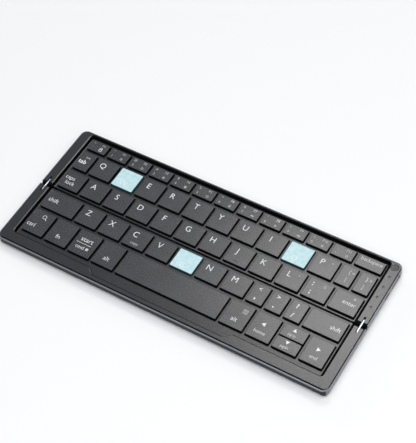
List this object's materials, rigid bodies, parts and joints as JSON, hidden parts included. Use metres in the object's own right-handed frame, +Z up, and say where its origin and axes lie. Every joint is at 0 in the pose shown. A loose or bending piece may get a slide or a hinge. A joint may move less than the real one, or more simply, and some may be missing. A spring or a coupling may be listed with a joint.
{
  "type": "folding keyboard",
  "caption": "Pocket wireless keyboard in two trays of flat keys, joined at each side by a double-pivot steel link, so that the rear tray folds over onto the front one.",
  "frame": {"origin": "on the resting surface, under the middle of the fold line, with the keyboard open and flat", "axes": "+X to the typist's right along the fold line, +Y to the rear, +Z up"},
  "size_m": [0.2096, 0.0884, 0.0071],
  "materials": {
    "case": "dark grey satin anodised",
    "frame": "fine-grained satin",
    "deck": "fine-grained matt",
    "key": "fine-grained satin",
    "pale_key": "satin pale blue",
    "silicone": "matt",
    "hinge_steel": "polished",
    "socket_steel": "drawn",
    "screw_steel": "blackened",
    "cell": "foil pouch",
    "board": "solder resist",
    "lens": "clear, smoked",
    "rubber": "matt"
  },
  "bodies": {
    "front_half": {"front_case": "case", "front_frame": "frame", "front_key_deck": "deck", "front_dome_sheet": "silicone", "front_hinge_pins": "hinge_steel", "battery": "cell", "front_feet": "rubber", "front_screws": "screw_steel"},
    "hinge_links": {"hinge_links": "hinge_steel"},
    "rear_half": {"rear_case": "case", "rear_frame": "frame", "rear_key_deck": "deck", "rear_dome_sheet": "silicone", "rear_hinge_pins": "hinge_steel", "main_board": "board", "charge_socket": "socket_steel", "indicator_lenses": "lens", "corner_bumper": "rubber", "rear_feet": "rubber", "rear_screws": "screw_steel"},
    "power_slider": {"power_slider": "frame"},
    "key_q": {"key_q": "key"},
    "key_w": {"key_w": "pale_key"},
    "key_e": {"key_e": "key"},
    "key_r": {"key_r": "key"},
    "key_t": {"key_t": "key"},
    "key_y": {"key_y": "key"},
    "key_u": {"key_u": "key"},
    "key_i": {"key_i": "key"},
    "key_o": {"key_o": "pale_key"},
    "key_p": {"key_p": "key"},
    "key_a": {"key_a": "key"},
    "key_s": {"key_s": "key"},
    "key_d": {"key_d": "key"},
    "key_f": {"key_f": "key"},
    "key_g": {"key_g": "key"},
    "key_h": {"key_h": "key"},
    "key_j": {"key_j": "key"},
    "key_k": {"key_k": "key"},
    "key_l": {"key_l": "key"},
    "key_z": {"key_z": "key"},
    "key_x": {"key_x": "key"},
    "key_c": {"key_c": "key"},
    "key_v": {"key_v": "key"},
    "key_b": {"key_b": "pale_key"},
    "key_n": {"key_n": "key"},
    "key_m": {"key_m": "key"},
    "key_tab": {"key_tab": "key"},
    "key_caps_lock": {"key_caps_lock": "key"},
    "key_enter": {"key_enter": "key"},
    "key_left_shift": {"key_left_shift": "key"},
    "key_right_shift": {"key_right_shift": "key"},
    "key_space": {"key_space": "key"},
    "key_left": {"key_left": "key"},
    "key_up": {"key_up": "key"},
    "key_down": {"key_down": "key"},
    "key_right": {"key_right": "key"},
    "number_row_keys": {"number_row_keys": "key"},
    "rear_punctuation_keys": {"rear_punctuation_keys": "key"},
    "front_small_keys": {"front_small_keys": "key"}
  },
  "joints": [
    {"name": "front_pivot", "type": "hinge", "parent": "front_half", "child": "hinge_links", "pos_m": [0, -0.0031, 0.0044], "axis": [1, 0, 0], "range_deg": [0, 90]},
    {"name": "rear_pivot", "type": "hinge", "parent": "hinge_links", "child": "rear_half", "pos_m": [0, 0.0031, 0.0044], "axis": [1, 0, 0], "range_deg": [0, 90]},
    {"name": "power_switch", "type": "slide", "parent": "rear_half", "child": "power_slider", "axis": [0, 1, 0], "range_m": [0, 0.0022]},
    {"name": "key_q_press", "type": "slide", "parent": "rear_half", "child": "key_q", "axis": [0, 0, -1], "range_m": [0, 0.0012], "stiffness_N_per_m": 350, "springref_m": -0.0005},
    {"name": "key_w_press", "type": "slide", "parent": "rear_half", "child": "key_w", "axis": [0, 0, -1], "range_m": [0, 0.0012], "stiffness_N_per_m": 350, "springref_m": -0.0005},
    {"name": "key_e_press", "type": "slide", "parent": "rear_half", "child": "key_e", "axis": [0, 0, -1], "range_m": [0, 0.0012], "stiffness_N_per_m": 350, "springref_m": -0.0005},
    {"name": "key_r_press", "type": "slide", "parent": "rear_half", "child": "key_r", "axis": [0, 0, -1], "range_m": [0, 0.0012], "stiffness_N_per_m": 350, "springref_m": -0.0005},
    {"name": "key_t_press", "type": "slide", "parent": "rear_half", "child": "key_t", "axis": [0, 0, -1], "range_m": [0, 0.0012], "stiffness_N_per_m": 350, "springref_m": -0.0005},
    {"name": "key_y_press", "type": "slide", "parent": "rear_half", "child": "key_y", "axis": [0, 0, -1], "range_m": [0, 0.0012], "stiffness_N_per_m": 350, "springref_m": -0.0005},
    {"name": "key_u_press", "type": "slide", "parent": "rear_half", "child": "key_u", "axis": [0, 0, -1], "range_m": [0, 0.0012], "stiffness_N_per_m": 350, "springref_m": -0.0005},
    {"name": "key_i_press", "type": "slide", "parent": "rear_half", "child": "key_i", "axis": [0, 0, -1], "range_m": [0, 0.0012], "stiffness_N_per_m": 350, "springref_m": -0.0005},
    {"name": "key_o_press", "type": "slide", "parent": "rear_half", "child": "key_o", "axis": [0, 0, -1], "range_m": [0, 0.0012], "stiffness_N_per_m": 350, "springref_m": -0.0005},
    {"name": "key_p_press", "type": "slide", "parent": "rear_half", "child": "key_p", "axis": [0, 0, -1], "range_m": [0, 0.0012], "stiffness_N_per_m": 350, "springref_m": -0.0005},
    {"name": "key_a_press", "type": "slide", "parent": "rear_half", "child": "key_a", "axis": [0, 0, -1], "range_m": [0, 0.0012], "stiffness_N_per_m": 350, "springref_m": -0.0005},
    {"name": "key_s_press", "type": "slide", "parent": "rear_half", "child": "key_s", "axis": [0, 0, -1], "range_m": [0, 0.0012], "stiffness_N_per_m": 350, "springref_m": -0.0005},
    {"name": "key_d_press", "type": "slide", "parent": "rear_half", "child": "key_d", "axis": [0, 0, -1], "range_m": [0, 0.0012], "stiffness_N_per_m": 350, "springref_m": -0.0005},
    {"name": "key_f_press", "type": "slide", "parent": "rear_half", "child": "key_f", "axis": [0, 0, -1], "range_m": [0, 0.0012], "stiffness_N_per_m": 350, "springref_m": -0.0005},
    {"name": "key_g_press", "type": "slide", "parent": "rear_half", "child": "key_g", "axis": [0, 0, -1], "range_m": [0, 0.0012], "stiffness_N_per_m": 350, "springref_m": -0.0005},
    {"name": "key_h_press", "type": "slide", "parent": "rear_half", "child": "key_h", "axis": [0, 0, -1], "range_m": [0, 0.0012], "stiffness_N_per_m": 350, "springref_m": -0.0005},
    {"name": "key_j_press", "type": "slide", "parent": "rear_half", "child": "key_j", "axis": [0, 0, -1], "range_m": [0, 0.0012], "stiffness_N_per_m": 350, "springref_m": -0.0005},
    {"name": "key_k_press", "type": "slide", "parent": "rear_half", "child": "key_k", "axis": [0, 0, -1], "range_m": [0, 0.0012], "stiffness_N_per_m": 350, "springref_m": -0.0005},
    {"name": "key_l_press", "type": "slide", "parent": "rear_half", "child": "key_l", "axis": [0, 0, -1], "range_m": [0, 0.0012], "stiffness_N_per_m": 350, "springref_m": -0.0005},
    {"name": "key_z_press", "type": "slide", "parent": "front_half", "child": "key_z", "axis": [0, 0, -1], "range_m": [0, 0.0012], "stiffness_N_per_m": 350, "springref_m": -0.0005},
    {"name": "key_x_press", "type": "slide", "parent": "front_half", "child": "key_x", "axis": [0, 0, -1], "range_m": [0, 0.0012], "stiffness_N_per_m": 350, "springref_m": -0.0005},
    {"name": "key_c_press", "type": "slide", "parent": "front_half", "child": "key_c", "axis": [0, 0, -1], "range_m": [0, 0.0012], "stiffness_N_per_m": 350, "springref_m": -0.0005},
    {"name": "key_v_press", "type": "slide", "parent": "front_half", "child": "key_v", "axis": [0, 0, -1], "range_m": [0, 0.0012], "stiffness_N_per_m": 350, "springref_m": -0.0005},
    {"name": "key_b_press", "type": "slide", "parent": "front_half", "child": "key_b", "axis": [0, 0, -1], "range_m": [0, 0.0012], "stiffness_N_per_m": 350, "springref_m": -0.0005},
    {"name": "key_n_press", "type": "slide", "parent": "front_half", "child": "key_n", "axis": [0, 0, -1], "range_m": [0, 0.0012], "stiffness_N_per_m": 350, "springref_m": -0.0005},
    {"name": "key_m_press", "type": "slide", "parent": "front_half", "child": "key_m", "axis": [0, 0, -1], "range_m": [0, 0.0012], "stiffness_N_per_m": 350, "springref_m": -0.0005},
    {"name": "key_tab_press", "type": "slide", "parent": "rear_half", "child": "key_tab", "axis": [0, 0, -1], "range_m": [0, 0.0012], "stiffness_N_per_m": 350, "springref_m": -0.0005},
    {"name": "key_caps_lock_press", "type": "slide", "parent": "rear_half", "child": "key_caps_lock", "axis": [0, 0, -1], "range_m": [0, 0.0012], "stiffness_N_per_m": 350, "springref_m": -0.0005},
    {"name": "key_enter_press", "type": "slide", "parent": "rear_half", "child": "key_enter", "axis": [0, 0, -1], "range_m": [0, 0.0012], "stiffness_N_per_m": 350, "springref_m": -0.0005},
    {"name": "key_left_shift_press", "type": "slide", "parent": "front_half", "child": "key_left_shift", "axis": [0, 0, -1], "range_m": [0, 0.0012], "stiffness_N_per_m": 350, "springref_m": -0.0005},
    {"name": "key_right_shift_press", "type": "slide", "parent": "front_half", "child": "key_right_shift", "axis": [0, 0, -1], "range_m": [0, 0.0012], "stiffness_N_per_m": 350, "springref_m": -0.0005},
    {"name": "key_space_press", "type": "slide", "parent": "front_half", "child": "key_space", "axis": [0, 0, -1], "range_m": [0, 0.0012], "stiffness_N_per_m": 350, "springref_m": -0.0005},
    {"name": "key_left_press", "type": "slide", "parent": "front_half", "child": "key_left", "axis": [0, 0, -1], "range_m": [0, 0.0012], "stiffness_N_per_m": 350, "springref_m": -0.0005},
    {"name": "key_up_press", "type": "slide", "parent": "front_half", "child": "key_up", "axis": [0, 0, -1], "range_m": [0, 0.0012], "stiffness_N_per_m": 350, "springref_m": -0.0005},
    {"name": "key_down_press", "type": "slide", "parent": "front_half", "child": "key_down", "axis": [0, 0, -1], "range_m": [0, 0.0012], "stiffness_N_per_m": 350, "springref_m": -0.0005},
    {"name": "key_right_press", "type": "slide", "parent": "front_half", "child": "key_right", "axis": [0, 0, -1], "range_m": [0, 0.0012], "stiffness_N_per_m": 350, "springref_m": -0.0005},
    {"name": "number_row_press", "type": "slide", "parent": "rear_half", "child": "number_row_keys", "axis": [0, 0, -1], "range_m": [0, 0.0012], "stiffness_N_per_m": 4550, "springref_m": -0.0005},
    {"name": "rear_punctuation_press", "type": "slide", "parent": "rear_half", "child": "rear_punctuation_keys", "axis": [0, 0, -1], "range_m": [0, 0.0012], "stiffness_N_per_m": 1050, "springref_m": -0.0005},
    {"name": "front_small_press", "type": "slide", "parent": "front_half", "child": "front_small_keys", "axis": [0, 0, -1], "range_m": [0, 0.0012], "stiffness_N_per_m": 2800, "springref_m": -0.0005}
  ]
}
